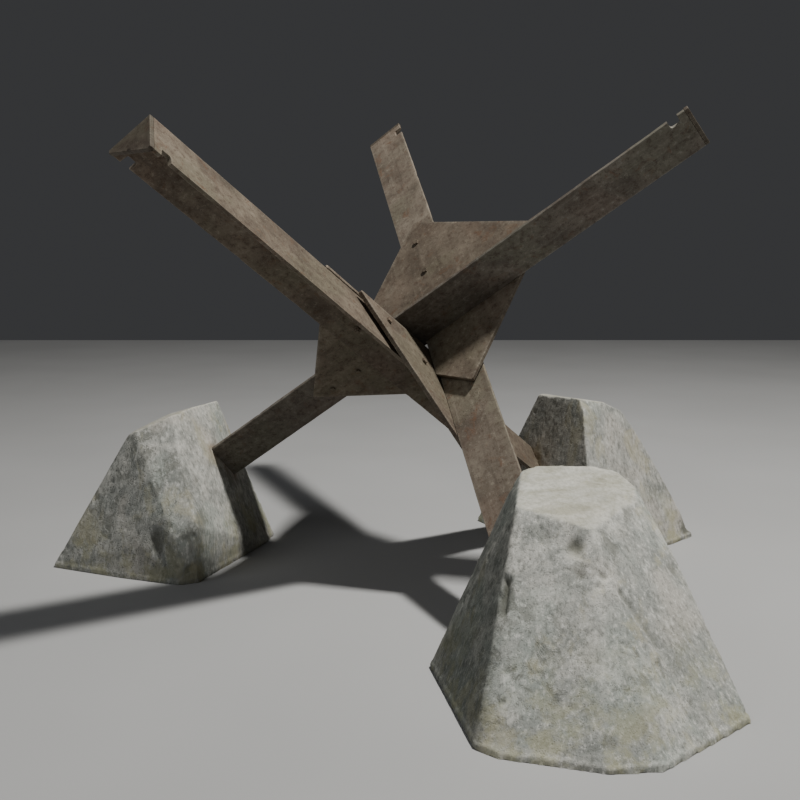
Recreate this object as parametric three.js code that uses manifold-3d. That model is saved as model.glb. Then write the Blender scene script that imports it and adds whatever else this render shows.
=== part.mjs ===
// Three-beam anti-vehicle obstacle ("hedgehog"): three rolled steel angles crossing at right
// angles, bolted through three gusset plates, their lower ends cast into rough concrete footings.
//
// Units are millimetres, +Z is up and the footings stand on z = 0. The hub frame has one axis
// along each beam: a, b and c all rise equally, so the line a = b = c is vertical.

import * as THREE from 'three';
import { ConvexGeometry } from 'three/addons/geometries/ConvexGeometry.js';
import { mergeVertices } from 'three/addons/utils/BufferGeometryUtils.js';
import Module from 'manifold-3d';

const wasm = await Module();
wasm.setup();

// Rolled equal angle, cut to one length for all three beams
const legWidth = 140;
const legThick = 13;
const rootRadius = 15;
const toeRadius = 6;
const beamLength = 2050;

// Triangular plates closing the beam ends, and the wire notches in both toes near each end
const capThick = 12;
const notchFromEnd = 33;
const notchWidth = 30;
const notchDepth = 25;

// Gusset plates: each lies between the flat outer faces of two beams, against the upper one and
// held off the lower one by a round spacer at each of its bolts
const seamGap = 0.3;
const plateThick = 13;
const spacerThick = 8.7;
const spacerRadius = 17;
const plateBase = spacerThick + 2 * seamGap;
const plateRoom = plateBase + plateThick + seamGap;

// M10 bolts: hexagon head, washer under the nut, and the drilled hole
const boltRadius = 5;
const holeRadius = 5.5;
const hexAcrossFlats = 16;
const headHeight = 6.4;
const nutHeight = 8.4;
const washerRadius = 10;
const washerThick = 2;
const threadBeyondNut = 5;

// Height of the hub above the ground, and the clearance of the pockets cast round the beams
const hubHeight = 660;
const pocketGap = 0.5;

// How finely round shapes are divided, and the distance within which vertices are joined
const arcSteps = 4;
const hexSides = 6;
const shankSides = 12;
const boreSides = 16;
const washerSides = 20;
const weldTolerance = 1e-4;

const weatheredSteel = { color: 0x5e4a40, roughness: 0.85, metalness: 0.45 };
const rustySteel = { color: 0x4a3529, roughness: 0.8, metalness: 0.55 };
const paleConcrete = { color: 0xb4b5a8, roughness: 0.95, metalness: 0 };

// Each arm: azimuth of its upper end, heel position in the hub frame (its own axis left at 0),
// the hub directions of its two legs, and how far the upper end reaches beyond the hub.
const arms = [
  {
    name: 'a',
    azimuth: 222.7,
    heel: [0, 0, 0],
    legs: [[0, -1, 0], [0, 0, -1]],
    along: [1, 0, 0],
    reach: 1091,
  },
  {
    name: 'b',
    azimuth: 342.7,
    heel: [plateRoom, 0, plateRoom],
    legs: [[0, 0, 1], [1, 0, 0]],
    along: [0, 1, 0],
    reach: 989,
  },
  {
    name: 'c',
    azimuth: 102.7,
    heel: [0, plateRoom, 0],
    legs: [[0, 1, 0], [-1, 0, 0]],
    along: [0, 0, 1],
    reach: 1170,
  },
];

// Gusset plates. The outline and the bolts are given in the plate's own plane as [first, second]
// coordinates along the two hub axes named in `plane`, in cyclic order with the normal last.
// A bolt names the arm that it clamps to the plate.
const notchCorner = plateRoom + seamGap;
const gussets = [
  {
    name: 'gusset_plate_bc',
    plane: [[0, 1, 0], [0, 0, 1], [1, 0, 0]],
    outline: [[105, 560], [-277, 178], [-122, notchCorner], [notchCorner, notchCorner],
      [notchCorner, -122], [124, -223], [506, 159]],
    below: 'c',
    bolts: [
      { arm: 'c', at: [92, 455] },
      { arm: 'c', at: [92, 305] },
      { arm: 'b', at: [260, 92] },
      { arm: 'b', at: [-90, 92] },
    ],
  },
  {
    name: 'gusset_plate_ab',
    plane: [[1, 0, 0], [0, 1, 0], [0, 0, 1]],
    outline: [[462, 0], [-246, 0], [108, -354]],
    below: 'a',
    bolts: [
      { arm: 'a', at: [240, -75] },
      { arm: 'a', at: [-70, -75] },
      { arm: 'b', at: [92, -190] },
      { arm: 'b', at: [92, -290] },
    ],
  },
  {
    name: 'gusset_plate_ca',
    plane: [[0, 0, 1], [1, 0, 0], [0, 1, 0]],
    outline: [[-5, 345], [-395, -45], [-250, -190], [-5, -190]],
    below: 'a',
    bolts: [
      { arm: 'a', at: [-48, 225] },
      { arm: 'a', at: [-105, 75] },
      { arm: 'c', at: [-190, -70] },
      { arm: 'c', at: [-300, -70] },
    ],
  },
];

// Footings, one round the lower end of each arm. Points are [outward, sideways, height] from the
// vertical through the hub: outward along the arm's lower end, sideways to the left of that.
const footings = [
  {
    arm: 'a',
    base: [[892, -399], [335, -398], [453, 88], [490, 240], [1000, 200], [1050, 0], [1000, -250]],
    crown: [[472, -234, 462], [490, -200, 498], [534, 3, 484], [583, -230, 480],
      [665, -245, 443], [690, -257, 409], [770, -306, 266], [690, 110, 458], [800, 60, 430]],
  },
  {
    arm: 'b',
    base: [[1129, -186], [1180, -130], [1190, 41], [1180, 149], [1150, 242], [1095, 355],
      [842, 379], [722, 374], [638, 386], [594, 348], [568, -87], [579, -164]],
    crown: [[720, -48, 480], [733, 90, 482], [735, 222, 475], [830, 285, 430],
      [866, 265, 415], [930, 120, 400], [895, -25, 430],
      [596, 346, 168], [655, 378, 140], [590, 262, 131]],
  },
  {
    arm: 'c',
    base: [[600, -60], [725, -175], [1129, -186], [1175, -150], [1280, 41], [1294, 149],
      [1245, 242], [1150, 425], [850, 400], [640, 380], [590, 300]],
    crown: [[740, 17, 430], [722, 50, 470], [733, 90, 482], [735, 222, 475], [768, 274, 467],
      [820, 297, 441], [866, 278, 421], [905, 357, 300], [985, 120, 395], [887, -20, 430]],
  },
];

// ---------------------------------------------------------------- solids

function solidFrom(geometry) {
  const bare = geometry.index ? geometry.toNonIndexed() : geometry.clone();
  bare.deleteAttribute('normal');
  bare.deleteAttribute('uv');
  const merged = mergeVertices(bare, weldTolerance);
  const mesh = new wasm.Mesh({
    numProp: 3,
    vertProperties: new Float32Array(merged.attributes.position.array),
    triVerts: new Uint32Array(merged.index.array),
  });
  return new wasm.Manifold(mesh);
}

function geometryFrom(solid) {
  const mesh = solid.getMesh();
  const geometry = new THREE.BufferGeometry();
  geometry.setAttribute('position', new THREE.BufferAttribute(mesh.vertProperties, 3));
  geometry.setIndex(new THREE.BufferAttribute(mesh.triVerts, 1));
  geometry.computeVertexNormals();
  return geometry;
}

function cut(geometry, tools) {
  let solid = solidFrom(geometry);
  for (const tool of tools) {
    solid = solid.subtract(solidFrom(tool));
  }
  return geometryFrom(solid);
}

function prism(shape, length) {
  return new THREE.ExtrudeGeometry(shape, {
    depth: length,
    bevelEnabled: false,
    curveSegments: arcSteps,
  });
}

function polygon(points) {
  return new THREE.Shape(points.map(([x, y]) => new THREE.Vector2(x, y)));
}

function cylinder(radius, length, sides) {
  return new THREE.CylinderGeometry(radius, radius, length, sides)
    .rotateX(Math.PI / 2)
    .translate(0, 0, length / 2);
}

// Round tool that passes through everything within `reach` above and below z = 0
function drill(radius, reach) {
  return cylinder(radius, 2 * reach, boreSides).translate(0, 0, -reach);
}

// Angle section with its heel at the origin and its legs along +x and +y, grown by `grow`
function angleSection(grow) {
  const inner = legThick + grow;
  const root = rootRadius - grow;
  const rootCentre = legThick + rootRadius;
  const toe = legWidth + grow;
  const shape = new THREE.Shape();
  shape.moveTo(-grow, -grow);
  shape.lineTo(toe, -grow);
  shape.lineTo(toe, inner - toeRadius);
  shape.absarc(toe - toeRadius, inner - toeRadius, toeRadius, 0, Math.PI / 2, false);
  shape.lineTo(rootCentre, inner);
  shape.absarc(rootCentre, rootCentre, root, -Math.PI / 2, -Math.PI, true);
  shape.lineTo(inner, toe - toeRadius);
  shape.absarc(inner - toeRadius, toe - toeRadius, toeRadius, 0, Math.PI / 2, false);
  shape.lineTo(-grow, toe);
  shape.closePath();
  return shape;
}

// Outline of the plate that closes a beam end, grown by `grow`
function capOutline(grow) {
  const far = legWidth + grow;
  const lip = legThick + grow;
  return polygon([[-grow, -grow], [far, -grow], [far, lip], [lip, far], [-grow, far]]);
}

// ---------------------------------------------------------------- frames

// Hub frame in the world: columns are the rising directions of the three arms
const rise = Math.asin(1 / Math.sqrt(3));
const armDirections = arms.map(({ azimuth }) => {
  const turn = THREE.MathUtils.degToRad(azimuth);
  return new THREE.Vector3(
    Math.cos(rise) * Math.cos(turn),
    Math.cos(rise) * Math.sin(turn),
    Math.sin(rise),
  );
});
const hubFrame = new THREE.Matrix4()
  .makeBasis(...armDirections)
  .setPosition(0, 0, hubHeight);

function frameFrom(x, y, z, origin) {
  return new THREE.Matrix4()
    .makeBasis(new THREE.Vector3(...x), new THREE.Vector3(...y), new THREE.Vector3(...z))
    .setPosition(...origin);
}

// Beam frame in the hub: x and y along the legs, z along the beam, z = 0 level with the hub
function beamFrame(arm) {
  return frameFrom(arm.legs[0], arm.legs[1], arm.along, arm.heel);
}

function plateFrame(gusset) {
  return frameFrom(...gusset.plane, [0, 0, 0]);
}

const assembly = new THREE.Group();
const hub = new THREE.Group();
hub.applyMatrix4(hubFrame);
assembly.add(hub);

function place(parent, name, geometry, finish, frame = new THREE.Matrix4()) {
  const mesh = new THREE.Mesh(geometry, new THREE.MeshStandardMaterial(finish));
  mesh.name = name;
  mesh.applyMatrix4(frame);
  parent.add(mesh);
}

// ---------------------------------------------------------------- beams and their end plates

function boltHoles(arm) {
  const holes = [];
  const toBeam = beamFrame(arm).invert();
  for (const gusset of gussets) {
    for (const bolt of gusset.bolts.filter((each) => each.arm === arm.name)) {
      const hole = drill(holeRadius, plateRoom + 2 * legThick).translate(...bolt.at, 0);
      holes.push(hole.applyMatrix4(toBeam.clone().multiply(plateFrame(gusset))));
    }
  }
  return holes;
}

// Square notches in both toes, near each end of the beam
function notchTools(lowEnd, highEnd) {
  const tools = [];
  const throughLeg = 3 * legThick;
  const centres = [
    lowEnd + notchFromEnd + notchWidth / 2,
    highEnd - notchFromEnd - notchWidth / 2,
  ];
  for (const centre of centres) {
    const inFirstToe = new THREE.BoxGeometry(2 * notchDepth, throughLeg, notchWidth);
    tools.push(inFirstToe.translate(legWidth, legThick / 2, centre));
    const inSecondToe = new THREE.BoxGeometry(throughLeg, 2 * notchDepth, notchWidth);
    tools.push(inSecondToe.translate(legThick / 2, legWidth, centre));
  }
  return tools;
}

for (const arm of arms) {
  const highEnd = arm.reach;
  const lowEnd = arm.reach - beamLength;
  const bodyLength = beamLength - 2 * (capThick + seamGap);
  const body = prism(angleSection(0), bodyLength).translate(0, 0, lowEnd + capThick + seamGap);
  const beam = cut(body, [...notchTools(lowEnd, highEnd), ...boltHoles(arm)]);
  place(hub, `beam_${arm.name}`, beam, weatheredSteel, beamFrame(arm));
  const upperCap = prism(capOutline(0), capThick).translate(0, 0, highEnd - capThick);
  const lowerCap = prism(capOutline(0), capThick).translate(0, 0, lowEnd);
  place(hub, `end_plate_${arm.name}_upper`, upperCap, weatheredSteel, beamFrame(arm));
  place(hub, `end_plate_${arm.name}_lower`, lowerCap, weatheredSteel, beamFrame(arm));
}

// ---------------------------------------------------------------- gusset plates and fasteners

const hexCornerRadius = hexAcrossFlats / Math.sqrt(3);

// Hexagon bolt: the head stands above z = 0 and the shank runs down from inside the head,
// through the grip, the washer and the nut
function boltShape(grip) {
  const shankLength = grip + 2 * seamGap + washerThick + nutHeight + threadBeyondNut;
  const shank = cylinder(boltRadius, shankLength + headHeight / 2, shankSides);
  const head = cylinder(hexCornerRadius, headHeight, hexSides);
  return geometryFrom(solidFrom(head).add(solidFrom(shank.translate(0, 0, -shankLength))));
}

const nutShape = cut(
  cylinder(hexCornerRadius, nutHeight, hexSides),
  [drill(boltRadius + seamGap, 2 * nutHeight)],
);

function ring(radius, thickness) {
  return cut(cylinder(radius, thickness, washerSides), [drill(holeRadius, 2 * thickness)]);
}

for (const gusset of gussets) {
  const frame = plateFrame(gusset);
  const holes = gusset.bolts.map(({ at }) => drill(holeRadius, 2 * plateRoom).translate(...at, 0));
  const plate = prism(polygon(gusset.outline), plateThick).translate(0, 0, plateBase);
  place(hub, gusset.name, cut(plate, holes), weatheredSteel, frame);

  gusset.bolts.forEach((bolt, index) => {
    // The lower arm lies under the plate and the other arm on top of it. The head bears on the
    // plate and the nut on the inside of the arm's leg.
    const headUp = bolt.arm === gusset.below;
    const headSeat = headUp ? plateBase + plateThick : plateBase;
    const nutSeat = headUp ? -legThick : plateRoom + legThick;
    const grip = Math.abs(headSeat - nutSeat);
    const facing = new THREE.Matrix4();
    if (!headUp) {
      facing.makeRotationX(Math.PI);
    }
    const alongBolt = (distance) => (
      frame.clone()
        .multiply(new THREE.Matrix4().makeTranslation(...bolt.at, headSeat))
        .multiply(facing)
        .multiply(new THREE.Matrix4().makeTranslation(0, 0, distance))
    );
    const washerBase = -(grip + seamGap + washerThick);
    const nutBase = washerBase - seamGap - nutHeight;
    const label = `${gusset.name.slice(-2)}_${index + 1}`;
    place(hub, `bolt_${label}`, boltShape(grip), rustySteel, alongBolt(seamGap));
    place(hub, `washer_${label}`, ring(washerRadius, washerThick), rustySteel, alongBolt(washerBase));
    place(hub, `nut_${label}`, nutShape, rustySteel, alongBolt(nutBase));
    if (headUp) {
      const spacer = ring(spacerRadius, spacerThick).translate(...bolt.at, seamGap);
      place(hub, `spacer_${label}`, spacer, rustySteel, frame);
    }
  });
}

// ---------------------------------------------------------------- footings

// Space that the lower end of a beam takes up, with its end plate, in the world
function pocketTools(arm) {
  const lowEnd = arm.reach - beamLength;
  const room = hubFrame.clone().multiply(beamFrame(arm));
  const section = prism(angleSection(pocketGap), -lowEnd).translate(0, 0, lowEnd - pocketGap);
  const cap = prism(capOutline(pocketGap), capThick + 2 * pocketGap);
  cap.translate(0, 0, lowEnd - pocketGap);
  return [section.applyMatrix4(room), cap.applyMatrix4(room)];
}

for (const footing of footings) {
  const arm = arms.find((each) => each.name === footing.arm);
  const outward = new THREE.Matrix4().makeRotationZ(
    THREE.MathUtils.degToRad(arm.azimuth + 180),
  );
  const points = [...footing.base.map(([x, y]) => [x, y, 0]), ...footing.crown]
    .map((point) => new THREE.Vector3(...point).applyMatrix4(outward));
  const block = cut(new ConvexGeometry(points), pocketTools(arm));
  place(assembly, `footing_${arm.name}`, block, paleConcrete);
}

// The origin is at the middle of the object's box, on the ground
assembly.updateMatrixWorld(true);
const box = new THREE.Box3().setFromObject(assembly, true);
assembly.position.set(-(box.min.x + box.max.x) / 2, -(box.min.y + box.max.y) / 2, -box.min.z);

const group = new THREE.Group();
group.add(assembly);

export default group;
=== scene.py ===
"""Anti-vehicle obstacle: three steel angles crossing at right angles, on rough concrete footings.

Metres, +Z up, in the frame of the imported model. Builders of the sub-parts come
first, then two families of material (rough concrete, weathered steel), then the stage.
"""

import math
import random

import bmesh
import bpy
import numpy as np
from mathutils import Matrix, Vector, noise
from mathutils.geometry import delaunay_2d_cdt


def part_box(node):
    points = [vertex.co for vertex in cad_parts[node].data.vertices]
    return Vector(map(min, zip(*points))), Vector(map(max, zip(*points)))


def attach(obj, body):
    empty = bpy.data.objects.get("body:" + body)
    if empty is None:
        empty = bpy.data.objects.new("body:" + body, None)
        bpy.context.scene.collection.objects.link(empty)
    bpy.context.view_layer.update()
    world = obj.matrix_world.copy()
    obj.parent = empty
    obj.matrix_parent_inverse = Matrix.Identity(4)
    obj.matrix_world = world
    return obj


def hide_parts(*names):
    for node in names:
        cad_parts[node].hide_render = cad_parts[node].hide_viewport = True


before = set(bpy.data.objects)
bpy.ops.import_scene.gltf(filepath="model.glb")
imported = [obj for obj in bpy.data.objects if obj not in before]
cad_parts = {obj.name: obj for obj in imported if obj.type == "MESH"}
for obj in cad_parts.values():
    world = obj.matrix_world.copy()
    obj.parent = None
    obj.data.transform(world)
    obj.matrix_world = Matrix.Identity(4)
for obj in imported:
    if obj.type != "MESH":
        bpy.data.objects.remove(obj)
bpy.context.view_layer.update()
MM = 0.001
ROOT = "root"

# Rolled angle
LEG = 0.140
THICK = 0.013
ROOT_RADIUS = 0.015
TOE_RADIUS = 0.006
ARRIS = 0.0016
BEAM_LENGTH = 2.050
CAP = 0.012
SEAM = 0.0003
NOTCH_START = 0.033
NOTCH_WIDTH = 0.030
NOTCH_DEPTH = 0.025
NOTCH_ROUND = 0.007
NOTCH_RAGGED = 0.0006
STATION_STEP = 0.009

# Gusset plates, the spacers that hold them off the lower beam, and M10 bolts
PLATE = 0.013
SPACER = 0.0087
SPACER_R = 0.017
PLATE_BASE = SPACER + 2 * SEAM
PLATE_ROOM = PLATE_BASE + PLATE + SEAM
BOLT_R = 0.005
HOLE_R = 0.0055
HEX_FLATS = 0.016
HEAD = 0.0064
NUT = 0.0084
WASHER_R = 0.010
WASHER = 0.002
THREAD_OUT = 0.005
PITCH = 0.0015
THREAD_DEPTH = 0.0007
CROWN_R = HEX_FLATS / 2 * 0.95
DOME_R = HEX_FLATS / 2 * 0.6
BOLT_TURN = 23
BOLT_TURN_FROM = 11

HUB_HEIGHT = 0.660
RISE = math.asin(1 / math.sqrt(3))
AZIMUTH = {"a": 222.7, "b": 342.7, "c": 102.7}
A, B, C = Vector((1, 0, 0)), Vector((0, 1, 0)), Vector((0, 0, 1))

# Camera, seen from the hub
CAMERA_AT = Vector((-0.0772, -3.0177, 0.3516))
CAMERA_DOWN = 9.222
LENS_MM = 45.55
SENSOR_MM = 36.0

# Each arm: its two leg directions, its own axis, its heel in the hub, and its upper reach
ARMS = {
    "a": (-B, -C, A, Vector((0, 0, 0)), 1.091),
    "b": (C, A, B, Vector((PLATE_ROOM, 0, PLATE_ROOM)), 0.989),
    "c": (B, -A, C, Vector((0, PLATE_ROOM, 0)), 1.170),
}

# Gusset plates: in-plane axes and normal, outline and bolts in millimetres, and the arm below
INNER = 22.9
GUSSETS = {
    "bc": {
        "axes": (B, C, A),
        "outline": [(105, 560), (-277, 178), (-122, INNER), (INNER, INNER), (INNER, -122),
                    (124, -223), (506, 159)],
        "below": "c",
        "bolts": [("c", 92, 455), ("c", 92, 305), ("b", 260, 92), ("b", -90, 92)],
    },
    "ab": {
        "axes": (A, B, C),
        "outline": [(462, 0), (-246, 0), (108, -354)],
        "below": "a",
        "bolts": [("a", 240, -75), ("a", -70, -75), ("b", 92, -190), ("b", 92, -290)],
    },
    "ca": {
        "axes": (C, A, B),
        "outline": [(-5, 345), (-395, -45), (-250, -190), (-5, -190)],
        "below": "a",
        "bolts": [("a", -48, 225), ("a", -105, 75), ("c", -190, -70), ("c", -300, -70)],
    },
}


# ---- frames

def basis(x, y, z, origin):
    """Frame with these three columns and this origin."""
    turned = Matrix((x, y, z)).transposed().to_4x4()
    return Matrix.Translation(origin) @ turned


def direction(turn, lift):
    """Unit vector at this azimuth and elevation."""
    return Vector((math.cos(lift) * math.cos(turn), math.cos(lift) * math.sin(turn),
                   math.sin(lift)))


def beam_in_hub(name):
    x, y, z, heel, _ = ARMS[name]
    return basis(x, y, z, heel)


def hub_frame():
    """The hub in the row frame: turned to the three arms, and placed by beam a's own box."""
    arms = (direction(math.radians(AZIMUTH[n]), RISE) for n in "abc")
    turned = basis(*arms, Vector((0, 0, 0)))
    reach = ARMS["a"][4]
    ends = (reach - BEAM_LENGTH + CAP + SEAM, reach - CAP - SEAM)
    corners = [turned @ beam_in_hub("a") @ Vector((x, y, z))
               for x, y in ((0, 0), (LEG, 0), (0, LEG)) for z in ends]
    low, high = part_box("beam_a")
    x = high.x - max(c.x for c in corners)
    y = high.y - max(c.y for c in corners)
    return Matrix.Translation(Vector((x, y, HUB_HEIGHT))) @ turned


HUB = hub_frame()


def beam_frame(name):
    return HUB @ beam_in_hub(name)


def plate_frame(name):
    return HUB @ basis(*GUSSETS[name]["axes"], Vector((0, 0, 0)))


# ---- mesh helpers

def smooth(low, high, value):
    """Smooth step from 0 at low to 1 at high."""
    t = np.clip((value - low) / (high - low), 0, 1)
    return t * t * (3 - 2 * t)


def wobble(point, size, octaves=3):
    """Repeatable fractal noise about 0, with features of this size."""
    return noise.fractal(Vector(point) / size, 1.0, 2.0, octaves)


def link_object(name, data):
    made = bpy.data.objects.new(name, data)
    bpy.context.scene.collection.objects.link(made)
    return made


def mesh_object(name, points, faces, place=None, sharp=35):
    """Mesh object in the row frame, smooth shaded except across edges sharper than `sharp`."""
    data = bpy.data.meshes.new(name)
    data.from_pydata([tuple(p) for p in points], [], faces)
    if place is not None:
        data.transform(place)
    piece = link_object(name, data)
    finish_normals(piece, sharp)
    return piece


def finish_normals(piece, sharp=35):
    work = bmesh.new()
    work.from_mesh(piece.data)
    bmesh.ops.remove_doubles(work, verts=work.verts, dist=1e-6)
    bmesh.ops.dissolve_degenerate(work, edges=work.edges, dist=1e-6)
    bmesh.ops.recalc_face_normals(work, faces=work.faces)
    for face in work.faces:
        face.smooth = True
    limit = math.radians(sharp)
    for edge in work.edges:
        edge.smooth = not edge.is_manifold or edge.calc_face_angle(0) < limit
    work.to_mesh(piece.data)
    work.free()


def bake_modifiers(piece):
    """Replaces the piece's mesh by the mesh its modifiers make."""
    bpy.context.view_layer.update()
    seen = piece.evaluated_get(bpy.context.evaluated_depsgraph_get())
    made = bpy.data.meshes.new_from_object(seen)
    piece.modifiers.clear()
    old = piece.data
    piece.data = made
    bpy.data.meshes.remove(old)


def cut_away(piece, tools):
    """Subtracts closed tool objects from the piece, and removes them."""
    for tool in tools:
        change = piece.modifiers.new("cut", "BOOLEAN")
        change.operation = "DIFFERENCE"
        change.solver = "EXACT"
        change.object = tool
    bake_modifiers(piece)
    for tool in tools:
        data = tool.data
        bpy.data.objects.remove(tool)
        bpy.data.meshes.remove(data)


def read_points(piece):
    flat = np.empty(len(piece.data.vertices) * 3)
    piece.data.vertices.foreach_get("co", flat)
    return flat.reshape(-1, 3)


def write_points(piece, points):
    piece.data.vertices.foreach_set("co", np.asarray(points, float).ravel())
    piece.data.update()


def paint(piece, name, values):
    """Stores one number, or one vector, for each vertex."""
    values = np.asarray(values, float)
    kind = "FLOAT" if values.ndim == 1 else "FLOAT_VECTOR"
    field = piece.data.attributes.get(name) or piece.data.attributes.new(name, kind, "POINT")
    field.data.foreach_set("value" if values.ndim == 1 else "vector", values.ravel())


def to_local(points, place):
    turn = np.array(place.inverted())
    return points @ turn[:3, :3].T + turn[:3, 3]


def dress(piece, material):
    piece.data.materials.clear()
    piece.data.materials.append(material)


def hand_over(piece, slot, material, *nodes):
    """Dresses a piece that rides on the body and stands for these CAD nodes."""
    dress(piece, material)
    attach(piece, ROOT)
    if nodes:
        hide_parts(*nodes)


def prism_tool(outline, low, high, place):
    """Closed prism between two heights of a local frame, used to cut other pieces."""
    n = len(outline)
    points = [(x, y, low) for x, y in outline] + [(x, y, high) for x, y in outline]
    faces = [tuple(reversed(range(n))), tuple(range(n, 2 * n))]
    faces += [(i, (i + 1) % n, n + (i + 1) % n, n + i) for i in range(n)]
    return mesh_object("tool", points, faces, place)


def tube_faces(rings, sides):
    """Quads that join each closed ring of points to the next one."""
    faces = []
    for k in range(rings - 1):
        for i in range(sides):
            j = (i + 1) % sides
            faces.append((k * sides + i, k * sides + j, (k + 1) * sides + j, (k + 1) * sides + i))
    return faces


def tube_caps(points, sides):
    """The two end faces of a tube."""
    count = len(points)
    return [tuple(reversed(range(sides))), tuple(range(count - sides, count))]


def circle(radius, sides, x, y):
    return [(x + radius * math.cos(2 * math.pi * i / sides),
             y + radius * math.sin(2 * math.pi * i / sides)) for i in range(sides)]


def arc(x, y, radius, start, end, steps):
    """Points on an arc, in degrees, both ends included."""
    turns = np.radians(np.linspace(start, end, steps + 1))
    return [(x + radius * math.cos(t), y + radius * math.sin(t)) for t in turns]


# ---- angle section

def spread(start, end, inner):
    """Stations from start to end, closer together near both ends; the ends are left out."""
    span = end - start
    near = [0.0025, 0.006]
    body = np.linspace(start + 0.011, end - 0.011, inner)
    return [start + n for n in near] + list(body) + [end - n for n in reversed(near)]


def section(long_x=LEG, long_y=LEG, grow=0.0):
    """Outline of the angle, anticlockwise from its heel, with legs of these lengths."""
    inside = THICK + grow
    toe_x, toe_y = long_x + grow, long_y + grow
    root = THICK + ROOT_RADIUS
    r, t = ARRIS, TOE_RADIUS
    heel = -grow
    points = arc(heel + r, heel + r, r, 180, 270, 3)
    points += [(x, heel) for x in spread(heel + r, toe_x - r, 16)]
    points += arc(toe_x - r, heel + r, r, 270, 360, 2)
    points += [(toe_x, (inside - t) * 0.6)]
    points += arc(toe_x - t, inside - t, t, 0, 90, 6)
    points += [(x, inside) for x in reversed(spread(root, toe_x - t, 12))]
    points += arc(root, root, ROOT_RADIUS - grow, 270, 180, 6)
    points += [(inside, y) for y in spread(root, toe_y - t, 12)]
    points += arc(inside - t, toe_y - t, t, 0, 90, 6)
    points += [((inside - t) * 0.6, toe_y)]
    points += arc(heel + r, toe_y - r, r, 90, 180, 2)
    points += [(heel, y) for y in reversed(spread(heel + r, toe_y - r, 16))]
    return points


def beam_ends(name):
    """Lower and upper end of the arm's beam, along its own axis."""
    high_end = ARMS[name][4]
    return high_end - BEAM_LENGTH, high_end


def notch_starts(name):
    low_end, high_end = beam_ends(name)
    return low_end + NOTCH_START, high_end - NOTCH_START - NOTCH_WIDTH


def notch_cut(name, along, seed):
    """How deep a toe is cut at this station: worn square notches near each end."""
    depth = 0.0
    for start in notch_starts(name):
        t = along - start
        if 0 <= t <= NOTCH_WIDTH:
            rise = min(t, NOTCH_WIDTH - t, NOTCH_ROUND)
            bottom = math.sqrt(max(NOTCH_ROUND ** 2 - (NOTCH_ROUND - rise) ** 2, 0))
            depth = NOTCH_DEPTH - NOTCH_ROUND + bottom
            depth += NOTCH_RAGGED * wobble((along, seed, 0.3), 0.008, 2)
    return depth


def stations(name):
    """Lengthwise stations of the beam body, closer together round the notches."""
    low_end, high_end = beam_ends(name)
    first, last = low_end + CAP + SEAM, high_end - CAP - SEAM
    found = list(np.arange(first, last, STATION_STEP)) + [last]
    for start in notch_starts(name):
        end = start + NOTCH_WIDTH
        found = [s for s in found if not start - 0.004 < s < end + 0.004]
        found += [start - 0.003, start - 0.0008, start - 0.0002]
        found += list(np.linspace(start, end, 19))
        found += [end + 0.0002, end + 0.0008, end + 0.003]
    return sorted(found)


def outline_normals(points):
    """Outward normals of a closed anticlockwise outline."""
    p = np.array(points)
    run = np.roll(p, -1, 0) - np.roll(p, 1, 0)
    n = np.stack((run[:, 1], -run[:, 0]), 1)
    return n / np.maximum(np.linalg.norm(n, axis=1, keepdims=True), 1e-9)


def beam_wear(x, y, z, toe, seed):
    """How deep rust and knocks have eaten in at a point; toe is 1 at the tip of a leg."""
    at = (x + seed, y, z)
    worn = 0.00025 + 0.0003 * wobble(at, 0.05, 4) + 0.00035 * abs(wobble(at, 0.012, 2))
    nick = max(0.0, wobble((at[0], at[1], z * 0.6), 0.016, 2) - 0.28)
    worn += 0.004 * nick * float(smooth(0.955, 0.99, toe))
    worn += 0.0007 * float(smooth(0.9, 1.0, toe)) * (0.5 + wobble((seed, 0, z), 0.12, 2))
    return max(worn, 0.00005)


def build_beam(name, seed):
    """Rolled angle with rust-eaten faces, notched toes and drilled legs."""
    place = beam_frame(name)
    rings = stations(name)
    width = len(section())
    points = []
    for z in rings:
        long_x = LEG - notch_cut(name, z, seed)
        long_y = LEG - notch_cut(name, z, seed + 5)
        ring = section(long_x, long_y)
        for (x, y), n in zip(ring, outline_normals(ring)):
            worn = beam_wear(x, y, z, max(x / long_x, y / long_y), seed)
            points.append((x - n[0] * worn, y - n[1] * worn, z))
    faces = tube_faces(len(rings), width) + tube_caps(points, width)
    beam = mesh_object(f"angle_{name}", points, faces, place)
    cut_away(beam, hole_tools(name))
    finish_normals(beam, 38)
    paint_beam(beam, name, seed)
    return beam


def hole_tools(arm):
    """Drills for the bolt holes through one arm's legs."""
    tools = []
    reach = PLATE_ROOM + 2 * THICK
    for key, gusset in GUSSETS.items():
        for owner, x, y in gusset["bolts"]:
            if owner == arm:
                ring = circle(HOLE_R, 24, x * MM, y * MM)
                tools.append(prism_tool(ring, -reach, reach, plate_frame(key)))
    return tools


def paint_beam(beam, name, seed):
    """Edge closeness, and coordinates that follow the rolling direction."""
    x, y, z = to_local(read_points(beam), beam_frame(name)).T
    edges = [(0, 0), (LEG, 0), (0, LEG), (LEG, THICK), (THICK, LEG)]
    near = np.min([np.hypot(x - ex, y - ey) for ex, ey in edges], axis=0)
    inner = np.maximum(LEG - NOTCH_DEPTH - np.maximum(x, y), 0)
    for start in notch_starts(name):
        beyond = np.maximum(np.maximum(start - z, z - start - NOTCH_WIDTH), 0)
        near = np.minimum(near, np.hypot(beyond, inner))
    paint(beam, "edge", np.exp(-(near / 0.0026) ** 2))
    paint(beam, "grain", np.stack((x + y + seed * 0.7, z, x - y), 1))


# ---- flat plates

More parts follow.
